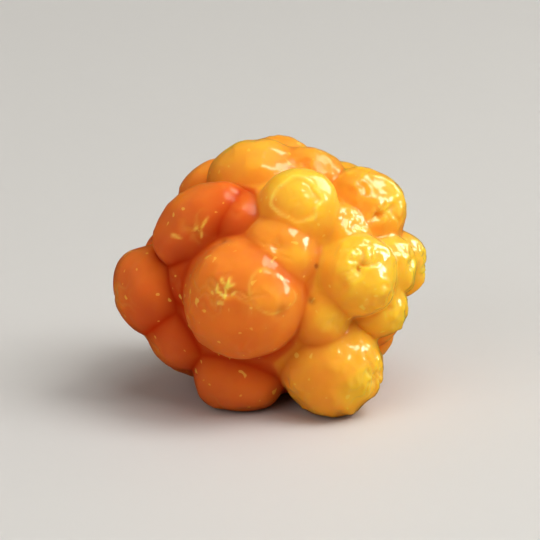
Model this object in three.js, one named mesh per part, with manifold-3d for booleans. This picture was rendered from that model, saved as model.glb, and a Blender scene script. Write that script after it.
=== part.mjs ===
import * as THREE from 'three';
import { mergeVertices } from 'three/addons/utils/BufferGeometryUtils.js';
import Module from 'manifold-3d';

const wasm = await Module();
wasm.setup();

// One picked cloudberry, resting on a level surface. Millimetres, +Z up.
// The blunt tip of the fruit faces -Y, and the hollow that the plant's core left faces +Y.

const berryRadius = 9.2;                   // the middle of the fruit to its usual outside
const restDepth = 0.8 * berryRadius;       // the middle of the fruit to the surface under it
const coreWidth = 0.73 * berryRadius;      // half the grown-together middle, side to side
const coreDepth = 0.7 * berryRadius;       // the same from tip to hollow
const coreHeight = 0.72 * berryRadius;     // the same from top to bottom

const blobDetail = 2;                      // how finely each rounded form is faceted
const floorBlock = 4 * berryRadius;        // side of the block that flattens the underside

// A drupelet's bearing is in degrees round the fruit: 0 at the tip, 90 on the right, 180 at the
// hollow. Its lift is the angle above the level. Its reach and size, the distance of its middle
// and its radius, are shares of berryRadius. A stretched one is longer along its roll angle.
const drupelets = [
  // the side that faces the viewer
  { bearing: -16, lift: 4, reach: 0.58, size: 0.4 },
  { bearing: 6, lift: 31, reach: 0.6, size: 0.25 },
  { bearing: -33, lift: 50, reach: 0.6, size: 0.2 },
  { bearing: 27, lift: 55, reach: 0.7, size: 0.26 },
  { bearing: 57, lift: 35, reach: 0.63, size: 0.21 },
  { bearing: 50, lift: 12, reach: 0.73, size: 0.27 },
  { bearing: 30, lift: -8, reach: 0.62, size: 0.2 },
  { bearing: 44, lift: -39.5, reach: 0.75, size: 0.33 },
  { bearing: -35, lift: -58, reach: 0.65, size: 0.3 },
  // the left
  { bearing: -60, lift: 40, reach: 0.67, size: 0.24, stretch: 1.45, roll: 62 },
  { bearing: -54, lift: 10, reach: 0.54, size: 0.22 },
  { bearing: -106, lift: 31, reach: 0.55, size: 0.26 },
  { bearing: -82, lift: -4, reach: 0.74, size: 0.3 },
  { bearing: -74, lift: -27, reach: 0.63, size: 0.28 },
  { bearing: -128, lift: -5, reach: 0.7, size: 0.3 },
  { bearing: -98, lift: -42, reach: 0.64, size: 0.27 },
  // the top
  { bearing: -144, lift: 76, reach: 0.6, size: 0.32 },
  { bearing: 115, lift: 66, reach: 0.64, size: 0.26 },
  { bearing: -143, lift: 36, reach: 0.67, size: 0.27 },
  { bearing: 130, lift: 30, reach: 0.71, size: 0.3 },
  // the right
  { bearing: 90, lift: 37, reach: 0.73, size: 0.29 },
  { bearing: 74, lift: 10, reach: 0.78, size: 0.21 },
  { bearing: 91, lift: 6, reach: 0.81, size: 0.22 },
  { bearing: 65, lift: -8, reach: 0.76, size: 0.2 },
  { bearing: 84, lift: -18, reach: 0.68, size: 0.23 },
  { bearing: 113, lift: -2, reach: 0.74, size: 0.29 },
  { bearing: 104, lift: -36, reach: 0.66, size: 0.28 },
  // round the hollow
  { bearing: 175, lift: 46, reach: 0.69, size: 0.3 },
  { bearing: 143, lift: -5, reach: 0.71, size: 0.29 },
  { bearing: -155, lift: -6, reach: 0.72, size: 0.29 },
  { bearing: 178, lift: -48, reach: 0.67, size: 0.29 },
  // the underside, where the first two take the weight with two at the front
  { bearing: -133, lift: -50, reach: 0.67, size: 0.31 },
  { bearing: 135, lift: -50, reach: 0.67, size: 0.31 },
  { bearing: 98, lift: -62, reach: 0.6, size: 0.26 },
  { bearing: 10, lift: -86, reach: 0.5, size: 0.29 },
];

const hollow = { bearing: 178, lift: -3, reach: 0.8, size: 0.23, depth: 0.46 };

const skin = new THREE.MeshStandardMaterial({
  name: 'ripe_skin',
  color: 0xe08a24,
  roughness: 0.22,
  metalness: 0,
});

function toSolid(geometry) {
  const bare = geometry.clone();
  bare.deleteAttribute('normal');
  bare.deleteAttribute('uv');
  const welded = mergeVertices(bare);
  const vertProperties = new Float32Array(welded.attributes.position.array);
  const triVerts = new Uint32Array(welded.index.array);
  return new wasm.Manifold(new wasm.Mesh({ numProp: 3, vertProperties, triVerts }));
}

function toGeometry(solid) {
  const mesh = solid.getMesh();
  const geometry = new THREE.BufferGeometry();
  geometry.setAttribute('position', new THREE.BufferAttribute(mesh.vertProperties, 3));
  geometry.setIndex(new THREE.BufferAttribute(mesh.triVerts, 1));
  return geometry;
}

function makeBlob(acrossRadius, upRadius, outRadius) {
  const blob = new THREE.IcosahedronGeometry(1, blobDetail);
  blob.scale(acrossRadius, upRadius, outRadius);
  return blob;
}

// Turns a blob made along +Z so that it points out of the fruit, and moves it out by its reach.
function placeBlob(blob, { bearing, lift, reach, roll = 0 }) {
  const turn = THREE.MathUtils.degToRad(bearing);
  const climb = THREE.MathUtils.degToRad(lift);
  const side = new THREE.Vector3(Math.cos(turn), Math.sin(turn), 0);
  const out = new THREE.Vector3(
    Math.sin(turn) * Math.cos(climb),
    -Math.cos(turn) * Math.cos(climb),
    Math.sin(climb),
  );
  const up = new THREE.Vector3().crossVectors(out, side);
  blob.rotateZ(THREE.MathUtils.degToRad(roll));
  blob.applyMatrix4(new THREE.Matrix4().makeBasis(side, up, out));
  blob.translate(...out.multiplyScalar(reach * berryRadius));
  return blob;
}

function makeDrupelet(drupelet) {
  const radius = drupelet.size * berryRadius;
  const stretch = drupelet.stretch ?? 1;
  return toSolid(placeBlob(makeBlob(radius * stretch, radius, radius), drupelet));
}

function makeHollow() {
  const radius = hollow.size * berryRadius;
  return toSolid(placeBlob(makeBlob(radius, radius, hollow.depth * berryRadius), hollow));
}

function makeFloorCut() {
  const block = new THREE.BoxGeometry(floorBlock, floorBlock, floorBlock);
  block.translate(0, 0, -restDepth - floorBlock / 2);
  return toSolid(block);
}

function makeCloudberry() {
  let fruit = toSolid(makeBlob(coreWidth, coreDepth, coreHeight));
  for (const drupelet of drupelets) {
    fruit = fruit.add(makeDrupelet(drupelet));
  }
  fruit = fruit.subtract(makeHollow()).subtract(makeFloorCut());

  // The origin is the middle of the fruit's own box, on the surface that it rests on.
  const geometry = toGeometry(fruit);
  geometry.computeBoundingBox();
  const middle = geometry.boundingBox.getCenter(new THREE.Vector3());
  geometry.translate(-middle.x, -middle.y, -geometry.boundingBox.min.z);

  const mesh = new THREE.Mesh(geometry, skin);
  mesh.name = 'cloudberry';
  return mesh;
}

const cloudberry = new THREE.Group();
cloudberry.add(makeCloudberry());

export default cloudberry;
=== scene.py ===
import math

import bpy
import numpy as np
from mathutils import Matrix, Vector, noise


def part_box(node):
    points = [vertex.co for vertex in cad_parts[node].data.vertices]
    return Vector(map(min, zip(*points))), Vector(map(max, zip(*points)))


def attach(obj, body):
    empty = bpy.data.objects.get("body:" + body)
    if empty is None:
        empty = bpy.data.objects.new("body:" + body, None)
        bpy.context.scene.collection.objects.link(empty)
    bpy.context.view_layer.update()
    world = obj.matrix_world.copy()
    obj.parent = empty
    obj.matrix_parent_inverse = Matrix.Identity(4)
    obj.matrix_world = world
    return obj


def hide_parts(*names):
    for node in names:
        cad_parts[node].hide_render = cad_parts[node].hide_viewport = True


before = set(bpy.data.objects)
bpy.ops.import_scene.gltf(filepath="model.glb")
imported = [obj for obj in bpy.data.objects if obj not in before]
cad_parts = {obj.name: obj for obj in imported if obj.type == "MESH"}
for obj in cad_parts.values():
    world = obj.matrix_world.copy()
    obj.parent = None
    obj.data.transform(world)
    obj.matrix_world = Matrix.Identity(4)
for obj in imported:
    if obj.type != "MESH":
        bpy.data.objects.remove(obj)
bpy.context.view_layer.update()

mm = 0.001


def colour(red, green, blue):
    # screen values of 0 to 255 as the linear colour that a shader takes
    shares = [value / 255 for value in (red, green, blue)]
    return tuple(((s + 0.055) / 1.055) ** 2.4 if s > 0.04 else s / 12.92 for s in shares) + (1,)


# The berry's drupelets, each by where it sits, how big and how ripe it is.
# bearing 0 is the blunt tip, 90 the right side, 180 the hollow; lift is the angle above level.
# reach and size are shares of the berry's radius; stretch and roll make one longer, and turn it.
# ripeness runs from 0, deep orange, to 1, golden; on the left and underside its low values are partly the
# drupelets' own colour and partly painted shade.
# pucker is how wrinkled the skin has gone, 0 to 1, and wet how glossy. tip and stone lean the tip and the
# stone over, in radians to the side and up.
# style counts the dried bits left round the tip. sunk is a sunken top's radius and depth.
drupelets = [
    # the side that faces the viewer
    {"bearing": -16, "lift": 4, "reach": 0.58, "size": 0.40, "ripeAndShade": 0.44, "pucker": 0.5, "wet": 0.36,
     "tip": (-0.06, 0.29), "stone": (0.76, 0.36), "style": 9},
    {"bearing": 6, "lift": 31, "reach": 0.60, "size": 0.25, "ripeAndShade": 0.70, "pucker": 0.5},
    {"bearing": -33, "lift": 50, "reach": 0.60, "size": 0.20, "ripeAndShade": 0.25, "pucker": 0.3, "wet": 0.12},
    {"bearing": 27, "lift": 55, "reach": 0.70, "size": 0.26, "ripeAndShade": 0.95, "pucker": 0.2,
     "tip": (-0.50, -0.34), "sunk": (1.6, 0.20)},
    {"bearing": 57, "lift": 35, "reach": 0.63, "size": 0.21, "ripeAndShade": 0.90, "pucker": 0.5},
    {"bearing": 50, "lift": 12, "reach": 0.73, "size": 0.27, "ripeAndShade": 1.00, "pucker": 1.0,
     "tip": (-0.62, 0.43)},
    {"bearing": 30, "lift": -8, "reach": 0.62, "size": 0.20, "ripeAndShade": 0.85, "pucker": 0.4},
    {"bearing": 44, "lift": -39.5, "reach": 0.75, "size": 0.33, "ripeAndShade": 0.86, "pucker": 0.8,
     "tip": (0.25, 0.62)},
    {"bearing": -35, "lift": -58, "reach": 0.65, "size": 0.30, "ripeAndShade": 0.30, "pucker": 0.2},
    # the left
    {"bearing": -60, "lift": 40, "reach": 0.67, "size": 0.24, "ripeAndShade": 0.26, "pucker": 0.4,
     "stretch": 1.45, "roll": 62, "wet": 0.18, "tip": (0.08, -0.95), "style": 5},
    {"bearing": -54, "lift": 10, "reach": 0.54, "size": 0.22, "ripeAndShade": 0.22, "pucker": 0.2},
    {"bearing": -106, "lift": 31, "reach": 0.55, "size": 0.26, "ripeAndShade": 0.32, "pucker": 0.3},
    {"bearing": -82, "lift": -4, "reach": 0.74, "size": 0.30, "ripeAndShade": 0.24, "pucker": 0.3},
    {"bearing": -74, "lift": -27, "reach": 0.63, "size": 0.28, "ripeAndShade": 0.24, "pucker": 0.2},
    {"bearing": -128, "lift": -5, "reach": 0.70, "size": 0.30, "ripeAndShade": 0.25, "pucker": 0.3},
    {"bearing": -98, "lift": -42, "reach": 0.64, "size": 0.27, "ripeAndShade": 0.12, "pucker": 0.2},
    # the top
    {"bearing": -144, "lift": 76, "reach": 0.60, "size": 0.32, "ripeAndShade": 0.78, "pucker": 0.35},
    {"bearing": 115, "lift": 66, "reach": 0.64, "size": 0.26, "ripeAndShade": 0.70, "pucker": 0.6,
     "tip": (-0.7, 0.9), "wet": 0.25},
    {"bearing": -143, "lift": 36, "reach": 0.67, "size": 0.27, "ripeAndShade": 0.52, "pucker": 0.3},
    {"bearing": 130, "lift": 30, "reach": 0.71, "size": 0.30, "ripeAndShade": 0.80, "pucker": 0.4},
    # the right
    {"bearing": 90, "lift": 37, "reach": 0.73, "size": 0.29, "ripeAndShade": 0.80, "pucker": 0.9,
     "tip": (-1.1, -0.2), "wet": 0.6},
    {"bearing": 74, "lift": 10, "reach": 0.78, "size": 0.21, "ripeAndShade": 1.00, "pucker": 1.0},
    {"bearing": 91, "lift": 6, "reach": 0.81, "size": 0.22, "ripeAndShade": 0.95, "pucker": 0.9},
    {"bearing": 65, "lift": -8, "reach": 0.76, "size": 0.20, "ripeAndShade": 1.00, "pucker": 1.0,
     "tip": (-0.8, 0.5)},
    {"bearing": 84, "lift": -18, "reach": 0.68, "size": 0.23, "ripeAndShade": 0.72, "pucker": 0.4},
    {"bearing": 113, "lift": -2, "reach": 0.74, "size": 0.29, "ripeAndShade": 0.84, "pucker": 0.5},
    {"bearing": 104, "lift": -36, "reach": 0.66, "size": 0.28, "ripeAndShade": 0.60, "pucker": 0.3},
    # round the hollow
    {"bearing": 175, "lift": 46, "reach": 0.69, "size": 0.30, "ripeAndShade": 0.68, "pucker": 0.4},
    {"bearing": 143, "lift": -5, "reach": 0.71, "size": 0.29, "ripeAndShade": 0.72, "pucker": 0.4},
    {"bearing": -155, "lift": -6, "reach": 0.72, "size": 0.29, "ripeAndShade": 0.46, "pucker": 0.4},
    {"bearing": 178, "lift": -48, "reach": 0.67, "size": 0.29, "ripeAndShade": 0.48, "pucker": 0.3},
    # the underside
    {"bearing": -133, "lift": -50, "reach": 0.67, "size": 0.31, "ripeAndShade": 0.25, "pucker": 0.3},
    {"bearing": 135, "lift": -50, "reach": 0.67, "size": 0.31, "ripeAndShade": 0.50, "pucker": 0.3},
    {"bearing": 98, "lift": -62, "reach": 0.60, "size": 0.26, "ripeAndShade": 0.50, "pucker": 0.2},
    {"bearing": 10, "lift": -86, "reach": 0.50, "size": 0.29, "ripeAndShade": 0.30, "pucker": 0.2},
]

berry = {
    "radius": 9.2,                    # millimetres from the middle to the usual outside
    "core": (0.73, 0.70, 0.72),       # half sizes of the grown-together middle, as shares
    "hollow": {"bearing": 178, "lift": -3, "reach": 0.80, "size": 0.23},
    "hollowDepth": 0.46,
    "rest": 0.80,                     # middle of the berry down to the surface under it
    "blunt": 2.25,                    # 2 makes round drupelets, more makes them squarer on top
    "cell": 0.130,                    # millimetres between the skin's points
    "slides": 6,                      # how often the points slide towards the true surface
    "seamRound": 0.20,                # how softly two drupelets meet
    "seamWidth": 0.55,                # how far a seam's painted shade and its calming of the skin reach beside it
    "colourBlend": 0.12,              # how far two drupelets' colours run into each other
    "rimRound": 0.16,                 # how softly the hollow's rim and the flat patches turn
    "scarWidth": 0.35,                # how far the picked flesh shows past the hollow's rim
    "scarBumps": 0.45,                # how uneven the inside of the hollow is
    "scarSizes": (1.1, 0.7),          # how wide its bumps and its grooves are
    "restFade": 0.3,                  # how far above the flat patches the skin stays smooth
    "lumps": 0.22,                    # uneven swelling of the drupelets, and how wide it is
    "lumpSize": 2.6,
    "crumple": 0.22,                  # height of the crumpled skin's ridges, and how wide they are
    "crumpleSize": 1.6,
    "fineCrumple": 0.3,
    "patchSize": 1.9,                 # how wide the crumpled patches are
    "warpSize": 0.8,                  # how wide the wavering of folds and ridges is
    "creases": (3, 8),                # fewest and most creases that run out from a drupelet's tip
    "creaseDepth": 0.26,
    "creaseWidth": 0.17,
    "creaseLength": (0.7, 2.0),       # shortest and longest on a drupelet of the usual radius
    "creaseWander": 0.9,
    "usualRadius": 2.6,
    "tipLean": 0.16,                  # how far a tip leans over at most, where none is given
    "tipPit": 0.20,                   # depth and width of the little pit where the style was
    "pitWidth": 0.45,
    "styleHeight": 0.06,              # how proud the dried bits round a tip stand
    "styleSpread": 0.42,              # how far from the tip they lie
    "styleLength": (0.22, 0.42),
    "styleWidth": 0.10,
    "stylePale": 2.0,
    "sunkEdge": 0.06,                 # how softly a sunken top turns
    "sunkRim": 0.11,                  # width of the fold round it, painted pale as a highlight
    "sunkRimHeight": 0.3,             # its height as a share of the depth
    "sunkRimGleam": 1.5,
    "stoneWidth": 0.42,               # the part of a drupelet where its stone shows through
    "stoneFade": 0.12,
    "stoneRise": 0.10,                # how far a stone near the skin pushes it out
    "stoneEdge": 0.07,
    "stoneEdgePale": 0.8,
    "stoneLean": 0.5,                 # how far a stone leans over at most, where none is given
    "wetLeast": 0.35,                 # how glossy smooth skin is; wrinkled skin is fully so
    "keyLightSide": (74, 52),              # bearing and lift of the key light; the drupelets' sides facing it get no painted shade
    "paintedShadeAway": 0.24,                 # painted shade: how much less ripe, so more orange, a drupelet's side away from the key light is painted
    "seamShadeBegins": 1.4,                # painted shade: how far in the seams begin to darken
    "seamShadeDeepest": 2.6,                   # and how much further in that painted shade is at its darkest
}

# small dark marks and dents in the skin: where, how wide and how deep in millimetres, how dark
marks = [
    {"bearing": 26, "lift": 21, "width": 0.17, "depth": 0.05, "dark": 0.8},
    {"bearing": 21, "lift": 4, "width": 0.24, "depth": 0.08, "dark": 0.55},
    {"bearing": 4, "lift": 3, "width": 0.40, "depth": 0.20, "dark": 0.25},
    {"bearing": -28, "lift": 33, "width": 0.22, "depth": 0.06, "dark": 0.5},
    {"bearing": 128, "lift": 22, "width": 0.18, "depth": 0.05, "dark": 0.8},
    {"bearing": -118, "lift": 9, "width": 0.24, "depth": 0.08, "dark": 0.6},
    {"bearing": 160, "lift": 52, "width": 0.20, "depth": 0.05, "dark": 0.9},
]


def outward(bearing, lift, roll=0):
    turn, climb, spin = (math.radians(a) for a in (bearing, lift, roll))
    out = np.array([math.sin(turn) * math.cos(climb), -math.cos(turn) * math.cos(climb), math.sin(climb)])
    side = np.array([math.cos(turn), math.sin(turn), 0])
    up = np.cross(out, side)
    return out, math.cos(spin) * side + math.sin(spin) * up, math.cos(spin) * up - math.sin(spin) * side


def formOf(place, radii):
    # a rounded form's middle, its axes as rows, and its three radii, in millimetres
    out, side, up = outward(place["bearing"], place["lift"], place.get("roll", 0))
    middle = out * place["reach"] * berry["radius"]
    return {"middle": middle, "axes": np.array([side, up, out]), "radii": radii}


def makeForms():
    forms = []
    for d in drupelets:
        r = d["size"] * berry["radius"]
        forms.append(formOf(d, np.array([r * d.get("stretch", 1), r, r])))
        forms[-1]["blunt"] = berry["blunt"]
    core = {"middle": np.zeros(3), "axes": np.eye(3), "radii": np.array(berry["core"]) * berry["radius"]}
    h = berry["hollow"]["size"] * berry["radius"]
    hollow = formOf(berry["hollow"], np.array([h, h, berry["hollowDepth"] * berry["radius"]]))
    return forms, core, hollow


forms, core, hollow = makeForms()


def distanceTo(form, points):
    # how far the points are outside a form, and which way that grows
    local = (points - form["middle"]) @ form["axes"].T / form["radii"]
    blunt = form.get("blunt", 2)
    across = np.maximum(np.linalg.norm(local[:, :2], axis=1), 1e-6)
    along = np.abs(local[:, 2])
    length = np.maximum((across ** blunt + along ** blunt) ** (1 / blunt), 1e-6)
    pull = np.column_stack([local[:, :2] * (across ** (blunt - 2))[:, None],
                            np.sign(local[:, 2]) * along ** (blunt - 1)])
    grow = (pull / (length ** (blunt - 1))[:, None] / form["radii"]) @ form["axes"]
    steep = np.maximum(np.linalg.norm(grow, axis=1), 1e-6)
    return (length - 1) / steep, grow / steep[:, None]


def softMax(a, aSlope, b, bSlope, rounding):
    top = np.maximum(a, b)
    wa, wb = np.exp((a - top) / rounding), np.exp((b - top) / rounding)
    total = wa + wb
    slope = (wa / total)[:, None] * aSlope + (wb / total)[:, None] * bSlope
    return top + rounding * np.log(total), slope


def fruitField(points):
    # the distance to the whole berry: drupelets and core run together, less the hollow and the rest
    values, slopes = zip(*(distanceTo(form, points) for form in forms + [core]))
    values = np.array(values)
    near = values.min(axis=0)
    share = np.exp(-(values - near) / berry["seamRound"])
    total = share.sum(axis=0)
    value = near - berry["seamRound"] * np.log(total)
    slope = np.einsum("kn,knj->nj", share / total, np.array(slopes))
    inside, insideSlope = distanceTo(hollow, points)
    value, slope = softMax(value, slope, -inside, -insideSlope, berry["rimRound"])
    below = -berry["rest"] * berry["radius"] - points[:, 2]
    down = np.tile([0.0, 0.0, -1.0], (len(points), 1))
    value, slope = softMax(value, slope, below, down, berry["rimRound"])
    return value, slope, values, inside


def middleOfBerry():
    # where the berry's middle sits in the frame, in millimetres
    reachOut = [np.linalg.norm(f["axes"] * f["radii"][:, None], axis=0) for f in forms]
    low = np.min([f["middle"] - r for f, r in zip(forms, reachOut)], axis=0)
    high = np.max([f["middle"] + r for f, r in zip(forms, reachOut)], axis=0)
    boxLow, boxHigh = (np.array(corner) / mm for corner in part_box("cloudberry"))
    middle = (boxLow + boxHigh) / 2 - (low + high) / 2
    middle[2] = boxLow[2] + berry["rest"] * berry["radius"]
    return middle


def remeshed(source, cell):
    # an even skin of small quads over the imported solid, as points and faces in millimetres
    mesh = source.data.copy()
    mesh.transform(source.matrix_world)
    work = bpy.data.objects.new("work", mesh)
    bpy.context.scene.collection.objects.link(work)
    work.scale = (1 / mm,) * 3
    bpy.context.view_layer.objects.active = work
    work.select_set(True)
    bpy.ops.object.transform_apply(location=False, rotation=False, scale=True)
    remesh = work.modifiers.new("skin", "REMESH")
    remesh.mode = "VOXEL"
    remesh.voxel_size = cell
    bpy.ops.object.modifier_apply(modifier="skin")
    work.name = "cloudberrySkin"
    return work


def readPoints(mesh):
    points = np.empty(len(mesh.vertices) * 3)
    mesh.vertices.foreach_get("co", points)
    return points.reshape(-1, 3)


def writePoints(mesh, points):
    mesh.vertices.foreach_set("co", points.ravel())
    mesh.update()


def noiseAt(points, size, seed):
    # smooth noise between -1 and 1 with features of that size
    shift = Vector((seed * 17.3, seed * 5.1, seed * 9.7))
    return np.array([noise.noise(Vector(p) / size + shift) for p in points])


def putValue(mesh, name, values):
    layer = mesh.attributes.new(name, "FLOAT", "POINT")
    layer.data.foreach_set("value", np.asarray(values, dtype=np.float32))


def bell(distance, width):
    return np.exp(-(distance / width) ** 2)


def within(distance, edge, softness):
    # 1 inside the edge, 0 outside it
    return 1 / (1 + np.exp((distance - edge) / softness))


def aroundTip(rng, form, d, points, warp):
    # round one drupelet's tip: how deep the skin sinks, how pale it is, with painted highlights along its
    # creases and the fold round a sunken top, and how far the stone shows
    radius, stretch = form["radii"][1], d.get("stretch", 1)
    fewest, most = berry["creases"]
    count = round(fewest + (most - fewest) * d["pucker"])
    gaps = rng.uniform(0, 2 * math.pi), rng.uniform(0.5, 1.5, count) * 6.3 / count
    angles = gaps[0] + np.cumsum(gaps[1])       # all the way round, unevenly
    lengths = rng.uniform(*berry["creaseLength"], count) * radius / berry["usualRadius"]
    tip = np.array(d.get("tip", rng.uniform(-berry["tipLean"], berry["tipLean"], 2)))
    lean = np.array(d.get("stone", rng.uniform(-berry["stoneLean"], berry["stoneLean"], 2)))
    local = (points - form["middle"]) @ form["axes"].T
    turned = np.arctan2(local[:, :2], local[:, 2:])
    side, up = radius * (turned - tip).T
    reach = np.hypot(side, up)
    around = np.arctan2(up, side) + berry["creaseWander"] * warp
    sink = berry["tipPit"] * d["pucker"] * bell(reach, berry["pitWidth"])
    paleAndGleam = np.zeros(len(points))

    fromStone = np.linalg.norm(turned - lean, axis=1) / berry["stoneWidth"]
    stone = within(fromStone, 1, berry["stoneFade"])
    if "stone" in d:
        sink -= berry["stoneRise"] * within(fromStone, 1, berry["stoneEdge"])
        broken = np.clip(0.5 + 1.5 * warp, 0, 1)
        paleAndGleam = berry["stoneEdgePale"] * broken * bell(fromStone - 1.02, berry["stoneEdge"])

    for angle, length in zip(angles, lengths):
        ahead = np.cos(around - angle) > 0
        fade = np.exp(-(reach / length) ** 4) * np.clip(reach / 0.25, 0, 1)
        line = bell(reach * np.sin(around - angle), berry["creaseWidth"]) * ahead * fade
        sink += berry["creaseDepth"] * d["pucker"] * line
        # painted highlight: the crease is painted pale where its fold would catch the light
        paleAndGleam = np.maximum(paleAndGleam, d["pucker"] * line)

    for _ in range(d.get("style", 0)):
        bar = rng.normal(0, berry["styleSpread"], 2) * (stretch ** 2, 1 / stretch)
        turn = rng.uniform(0, math.pi)
        alongBar = math.cos(turn) * (side - bar[0]) + math.sin(turn) * (up - bar[1])
        acrossBar = math.cos(turn) * (up - bar[1]) - math.sin(turn) * (side - bar[0])
        ends = np.exp(-(alongBar / rng.uniform(*berry["styleLength"])) ** 4)
        streak = ends * bell(acrossBar, berry["styleWidth"])
        sink -= berry["styleHeight"] * streak
        paleAndGleam = np.maximum(paleAndGleam, berry["stylePale"] * streak)

    if "sunk" in d:
        width, deep = d["sunk"]
        edge = width * (1 + 0.25 * warp)
        rim = bell(reach - edge, berry["sunkRim"])
        sink += deep * (within(reach, edge, berry["sunkEdge"]) - berry["sunkRimHeight"] * rim)
        # painted highlight along the fold round the sunken top
        paleAndGleam = np.maximum(paleAndGleam, berry["sunkRimGleam"] * rim)
    return sink, paleAndGleam, stone


def allTips(points, mainForm, warp):
    rng = np.random.default_rng(11)
    sink, paleAndGleam, stone = np.zeros((3, len(points)))
    for index, (form, d) in enumerate(zip(forms, drupelets)):
        mine = mainForm == index
        sink[mine], paleAndGleam[mine], stone[mine] = aroundTip(rng, form, d, points[mine], warp[mine])
    return sink, paleAndGleam, stone


def skinMarks(points):
    # depth and darkness of the small marks, each a round spot on the outside of the berry
    depth = np.zeros(len(points))
    dark = np.zeros(len(points))
    direction = points / np.linalg.norm(points, axis=1)[:, None]
    skinReach = 0.9 * berry["radius"]
    for mark in marks:
        out = outward(mark["bearing"], mark["lift"])[0]
        beside = skinReach * np.arccos(np.clip(direction @ out, -1, 1))
        spot = bell(beside, mark["width"])
        depth += mark["depth"] * spot
        dark = np.maximum(dark, mark["dark"] * spot)
    return depth, dark


def slidOn(points):
    # the points moved onto the true surface, and the surface's facts at them
    for _ in range(berry["slides"]):
        value, slope, _, _ = fruitField(points)
        step = np.clip(value / np.maximum((slope ** 2).sum(axis=1), 0.2), -0.3, 0.3)
        points = points - step[:, None] * slope
    _, slope, values, inside = fruitField(points)
    return points, slope / np.linalg.norm(slope, axis=1)[:, None], values, inside


def ridges(points, size, seed):
    return 1 - 2 * np.abs(noiseAt(points, size, seed))


def makeBerry():
    piece = remeshed(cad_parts["cloudberry"], berry["cell"])
    mesh = piece.data
    middle = middleOfBerry()
    points, out, values, inside = slidOn(readPoints(mesh) - middle)

    # each point belongs mostly to one drupelet; next to a seam it is shared by two
    order = np.sort(values, axis=0)
    seam = np.exp(-(order[1] - order[0]) / berry["seamWidth"])
    toOwner = values[:-1] - values[:-1].min(axis=0)
    blend = np.exp(-toOwner / berry["colourBlend"])
    blend /= blend.sum(axis=0)
    pucker = np.array([d["pucker"] for d in drupelets]) @ blend
    wetUsual = [berry["wetLeast"] + (1 - berry["wetLeast"]) * d["pucker"] for d in drupelets]
    wet = np.array([d.get("wet", usual) for d, usual in zip(drupelets, wetUsual)]) @ blend
    # painted shade: each drupelet is painted more orange on its side turned away from the key light
    toKeyLight = out @ outward(*berry["keyLightSide"])[0]
    turnedFromKeyLight = np.clip(0.6 - toKeyLight, 0, 1.2)
    ripeAndShade = np.array([d["ripeAndShade"] for d in drupelets]) @ blend - berry["paintedShadeAway"] * turnedFromKeyLight
    scar = np.clip(1 - inside / berry["scarWidth"], 0, 1)
    aboveRest = points[:, 2] + berry["rest"] * berry["radius"]
    rest = np.clip(1 - aboveRest / berry["restFade"], 0, 1)
    print("berry shape: done")

    # uneven swelling, then crumpled patches, creases round each tip, and the marks
    calm = (1 - seam) * (1 - scar) * (1 - rest)
    patch = np.clip(0.5 + 1.8 * noiseAt(points, berry["patchSize"], 4), 0, 1)
    warp = noiseAt(points, berry["warpSize"], 2)
    crumple = ridges(points * (1 + 0.1 * warp[:, None]), berry["crumpleSize"], 3)
    crumple += berry["fineCrumple"] * ridges(points, berry["crumpleSize"] / 2, 8)
    swelling = noiseAt(points, berry["lumpSize"], 1) + 0.45 * noiseAt(points, berry["lumpSize"] / 2, 5)
    sink, paleAndGleam, stone = allTips(points, toOwner.argmin(axis=0), warp)
    marked, dark = skinMarks(points)
    bumpSize, grooveSize = berry["scarSizes"]
    scarred = noiseAt(points, bumpSize, 6) - 0.6 * np.abs(noiseAt(points, grooveSize, 9))
    height = (berry["lumps"] * swelling + berry["crumple"] * crumple * pucker * patch - sink) * calm
    height += berry["scarBumps"] * scar * scarred - marked * (1 - rest)
    points += out * height[:, None]

    # painted shade: the deeper a point lies in the valleys between drupelets, the darker it is painted
    depthIn = berry["radius"] - berry["seamShadeBegins"] - np.linalg.norm(points, axis=1)
    putValue(mesh, "ripeAndShade", np.clip(ripeAndShade, 0, 1))
    putValue(mesh, "seam", seam)
    putValue(mesh, "wet", wet)
    putValue(mesh, "scar", scar)
    putValue(mesh, "mark", dark)
    # pale dried bits and stone outlines, with painted highlights along creases and folds
    putValue(mesh, "paleAndGleam", paleAndGleam * calm)
    putValue(mesh, "stone", stone * calm)
    putValue(mesh, "deep", np.clip(depthIn / berry["seamShadeDeepest"], 0, 1))
    writePoints(mesh, (points + middle) * mm)
    for face in mesh.polygons:
        face.use_smooth = True
    print("berry skin:", len(mesh.vertices), "points,", len(mesh.polygons), "faces")
    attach(piece, "root")
    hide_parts("cloudberry")
    return piece


# The skin is wet, glossy and lit through, and golden where it is ripe; its seams, deep valleys and far
# sides carry painted shade, and its folds painted highlights.
skin = {
    "golden": colour(252, 194, 60),
    "amber": colour(244, 162, 56),
    "orange": colour(232, 126, 46),
    "deepOrange": colour(214, 100, 46),
    # painted shade, multiplied into the seams and the deep valleys between drupelets
    "seamShadeTint": colour(224, 126, 64),
    "deepShadeTint": colour(214, 124, 62),
    # pale for the flecks, dried bits and stone outlines, and for painted highlights along creases and
    # folds
    "paleAndGleam": colour(252, 214, 96),
    "mark": colour(140, 48, 18),
    "scar": colour(244, 176, 84),
    "scarShows": 0.8,
    "stoneShows": 0.18,                  # how much riper the skin looks over a stone
    "wander": 0.36,                      # how far the ripeness wanders over a drupelet
    "wanderSize": 2.2,
    "ripeSeams": 0.85,                   # how far ripeness takes the painted shade out of the seams
    "flecks": (0.757, 0.80),             # where a pale fleck begins and where it is full
    "fleckSize": 0.45,
    "paleShows": 0.5,
    "grainSize": 0.35,                   # the skin's fine grain and how high it stands
    "grainStrength": 0.35,
    "grainHeight": 0.00003,
    "lightDepth": (1.4, 0.75, 0.16),     # millimetres that red, green and blue travel inside
    "roughness": (0.23, 0.38),           # of the skin under the juice, smoothest and roughest
    "wetRoughness": 0.035,
}


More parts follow.
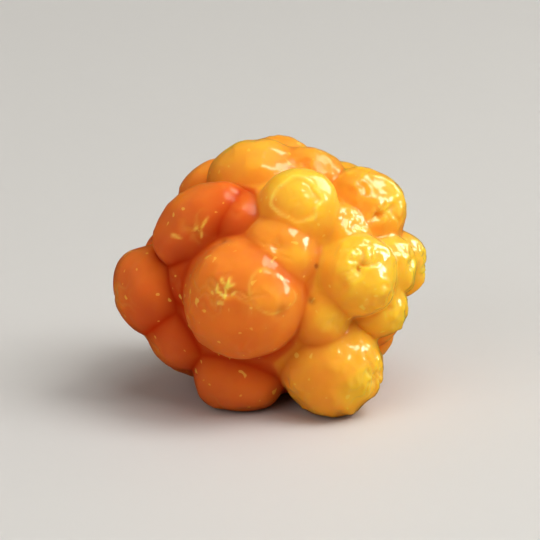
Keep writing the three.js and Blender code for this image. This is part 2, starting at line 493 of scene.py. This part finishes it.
class Nodes:
    def __init__(self, material):
        self.tree = material.node_tree
        self.shader = next(n for n in self.tree.nodes if n.type == "BSDF_PRINCIPLED")

    def add(self, kind, inputs=None, **settings):
        node = self.tree.nodes.new(kind)
        for name, value in settings.items():
            setattr(node, name, value)
        for name, value in (inputs or {}).items():
            self.feed(node.inputs[name], value)
        return node

    def feed(self, socket, value):
        if isinstance(value, bpy.types.NodeSocket):
            self.tree.links.new(value, socket)
        else:
            socket.default_value = value

    def attribute(self, name):
        return self.add("ShaderNodeAttribute", attribute_name=name).outputs["Fac"]

    def math(self, operation, *values, clamp=False):
        node = self.add("ShaderNodeMath", operation=operation, use_clamp=clamp)
        for socket, value in zip(node.inputs, values):
            self.feed(socket, value)
        return node.outputs[0]

    def mix(self, factor, first, second, blend="MIX"):
        node = self.add("ShaderNodeMix", data_type="RGBA", blend_type=blend)
        self.feed(node.inputs[0], factor)
        self.feed(node.inputs[6], first)
        self.feed(node.inputs[7], second)
        return node.outputs[2]

    def noise(self, size, detail=2, roughness=0.5, distortion=0):
        # size is in millimetres of the object
        place = self.add("ShaderNodeTexCoord").outputs["Object"]
        node = self.add("ShaderNodeTexNoise", {"Vector": place, "Scale": 1 / (size * mm), "Detail": detail,
                                               "Roughness": roughness, "Distortion": distortion})
        return node.outputs["Fac"]

    def ramp(self, factor, stops):
        node = self.add("ShaderNodeValToRGB")
        self.feed(node.inputs[0], factor)
        while len(node.color_ramp.elements) < len(stops):
            node.color_ramp.elements.new(0.5)
        for element, (position, value) in zip(node.color_ramp.elements, stops):
            element.position = position
            element.color = value
        return node.outputs[0]


def skinMaterial():
    material = bpy.data.materials.new("ripeSkin")
    material.use_nodes = True
    n = Nodes(material)
    ripeAndShade = n.attribute("ripeAndShade")
    wander = n.math("MULTIPLY_ADD", n.noise(skin["wanderSize"], 3), skin["wander"], -skin["wander"] / 2)
    lit = n.math("MULTIPLY_ADD", n.attribute("stone"), skin["stoneShows"], wander)
    ripeness = n.math("ADD", ripeAndShade, lit, clamp=True)
    base = n.ramp(ripeness, [(0.0, skin["deepOrange"]), (0.35, skin["orange"]), (0.68, skin["amber"]),
                             (1.0, skin["golden"])])
    # painted shade in the seams and deep valleys, weaker on the golden drupelets
    seamShadeStrength = n.math("MULTIPLY_ADD", ripeAndShade, -skin["ripeSeams"], 1.0)
    seam = n.math("MULTIPLY", n.attribute("seam"), seamShadeStrength)
    deep = n.math("MULTIPLY", n.attribute("deep"), seamShadeStrength)
    base = n.mix(seam, base, skin["seamShadeTint"], "MULTIPLY")
    base = n.mix(deep, base, skin["deepShadeTint"], "MULTIPLY")

    begins, full = skin["flecks"]
    flecks = n.ramp(n.noise(skin["fleckSize"], 0), [(begins, (0, 0, 0, 1)), (full, (1, 1, 1, 1))])
    # pale flecks, dried bits and stone outlines, with painted highlights along creases and folds
    paleAndGleam = n.math("MULTIPLY", n.attribute("paleAndGleam"), skin["paleShows"])
    paleness = n.math("MULTIPLY_ADD", flecks, skin["paleShows"], paleAndGleam, clamp=True)
    base = n.mix(paleness, base, skin["paleAndGleam"])
    base = n.mix(n.attribute("mark"), base, skin["mark"])
    base = n.mix(n.math("MULTIPLY", n.attribute("scar"), skin["scarShows"]), base, skin["scar"])

    grain = n.noise(skin["grainSize"], 3, 0.55, 0.4)
    bump = n.add("ShaderNodeBump", {"Strength": skin["grainStrength"], "Distance": skin["grainHeight"],
                                    "Height": grain})
    smoothest, roughest = skin["roughness"]
    n.feed(n.shader.inputs["Base Color"], base)
    n.feed(n.shader.inputs["Normal"], bump.outputs[0])
    n.feed(n.shader.inputs["Roughness"], n.math("MULTIPLY_ADD", grain, roughest - smoothest, smoothest))
    n.feed(n.shader.inputs["Coat Weight"], n.attribute("wet"))
    n.shader.inputs["Coat Roughness"].default_value = skin["wetRoughness"]
    n.shader.inputs["Coat IOR"].default_value = 1.42
    n.shader.inputs["IOR"].default_value = 1.38
    n.shader.inputs["Specular IOR Level"].default_value = 0.1
    n.shader.inputs["Subsurface Weight"].default_value = 1.0
    n.shader.inputs["Subsurface Radius"].default_value = skin["lightDepth"]
    n.shader.inputs["Subsurface Scale"].default_value = mm
    return material


# The studio is a pale sweep, panes of light on the right and behind, and soft lamps.
studio = {
    "floorColour": colour(206, 205, 202),
    "floorGrain": colour(184, 182, 178),
    "floorRadius": 0.85,
    "sweepRadius": 0.30,
    "wallTop": 0.7,
    "shineColour": colour(255, 244, 222),
    "elevation": 17,                  # degrees that the camera looks down
    "distance": 0.40,
    "lens": 440,
    "roomLight": 0.26,
    "roomColour": colour(255, 244, 228),
    "lights": [
        # name, bearing and lift seen from the berry, distance, width, height, power, and whether
        # it is seen in the gloss only, "shine", or in the soft light only, "soft"
        ("backPane", 128, 34, 0.40, 0.12, 0.26, 1.30, "shine"),
        ("roofPane", 78, 60, 0.40, 0.14, 0.22, 1.55, "shine"),
        ("lowPane", 98, 25, 0.40, 0.08, 0.15, 1.0, "shine"),
        ("keyLight", 74, 52, 0.40, 0.20, 0.24, 0.74, "soft"),
        ("sideLight", 76, 24, 0.42, 0.12, 0.16, 0.20, "soft"),
        ("topLight", 58, 68, 0.50, 0.5, 0.5, 1.65, "soft"),
        ("fillLight", -40, 22, 0.7, 0.5, 0.5, 1.35, "soft"),
    ],
}


def makeSweep():
    # a round floor that curves up into a wall on every side
    flat, r = studio["floorRadius"], studio["sweepRadius"]
    profile = [(flat * share, 0.0) for share in (0.3, 0.65, 1.0)]
    profile += [(flat + r * math.sin(a), r - r * math.cos(a)) for a in np.linspace(0, math.pi / 2, 17)[1:]]
    profile.append((flat + r, studio["wallTop"]))
    sides = 96
    points = [(0, 0, 0)]
    for away, up in profile:
        points += [(away * math.cos(t), away * math.sin(t), up)
                   for t in np.linspace(0, 2 * math.pi, sides, endpoint=False)]
    faces = [(0, 1 + k, 1 + (k + 1) % sides) for k in range(sides)]
    for ring in range(len(profile) - 1):
        start = 1 + ring * sides
        for k in range(sides):
            after = (k + 1) % sides
            faces.append((start + k, start + sides + k, start + sides + after, start + after))
    mesh = bpy.data.meshes.new("paleSweep")
    mesh.from_pydata(points, [], faces)
    for face in mesh.polygons:
        face.use_smooth = True
    piece = bpy.data.objects.new("paleSweep", mesh)
    bpy.context.scene.collection.objects.link(piece)
    material = bpy.data.materials.new("paleBoard")
    material.use_nodes = True
    n = Nodes(material)
    grain = n.noise(1.4, 4)
    faint = n.math("MULTIPLY", grain, 0.05)
    n.feed(n.shader.inputs["Base Color"], n.mix(faint, studio["floorColour"], studio["floorGrain"]))
    n.shader.inputs["Roughness"].default_value = 0.6
    mesh.materials.append(material)
    piece.visible_glossy = False      # the wet skin mirrors the windows, not the floor


def makeLights(target):
    for name, bearing, lift, distance, width, height, power, use in studio["lights"]:
        data = bpy.data.lights.new(name, "AREA")
        data.shape = "RECTANGLE"
        data.size = width
        data.size_y = height
        data.energy = power
        if use == "shine":
            data.color = studio["shineColour"][:3]
        light = bpy.data.objects.new(name, data)
        out = Vector(outward(bearing, lift)[0])
        light.location = target + out * distance
        light.rotation_euler = (-out).to_track_quat("-Z", "Y").to_euler()
        light.visible_glossy = use != "soft"
        light.visible_diffuse = use != "shine"
        bpy.context.scene.collection.objects.link(light)
    world = bpy.data.worlds.new("softRoom")
    world.use_nodes = True
    background = world.node_tree.nodes["Background"]
    background.inputs["Color"].default_value = studio["roomColour"]
    background.inputs["Strength"].default_value = studio["roomLight"]
    world.cycles_visibility.glossy = False      # the wet skin doesn't mirror the room either
    bpy.context.scene.world = world


def makeCamera(target):
    data = bpy.data.cameras.new("camera")
    data.lens = studio["lens"]
    data.clip_start = 0.01
    camera = bpy.data.objects.new("camera", data)
    out = Vector(outward(0, studio["elevation"])[0])
    camera.location = target + out * studio["distance"]
    camera.rotation_euler = (-out).to_track_quat("-Z", "Y").to_euler()
    bpy.context.scene.collection.objects.link(camera)
    bpy.context.scene.camera = camera


bpy.context.scene.view_settings.view_transform = "Standard"
boxLow, boxHigh = (Vector(corner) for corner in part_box("cloudberry"))
makeCamera((boxLow + boxHigh) / 2)
makeLights((boxLow + boxHigh) / 2)
makeSweep()
print("studio is set")
cloudberry = makeBerry()
cloudberry.data.materials.clear()
cloudberry.data.materials.append(skinMaterial())
print("skin is on the berry")
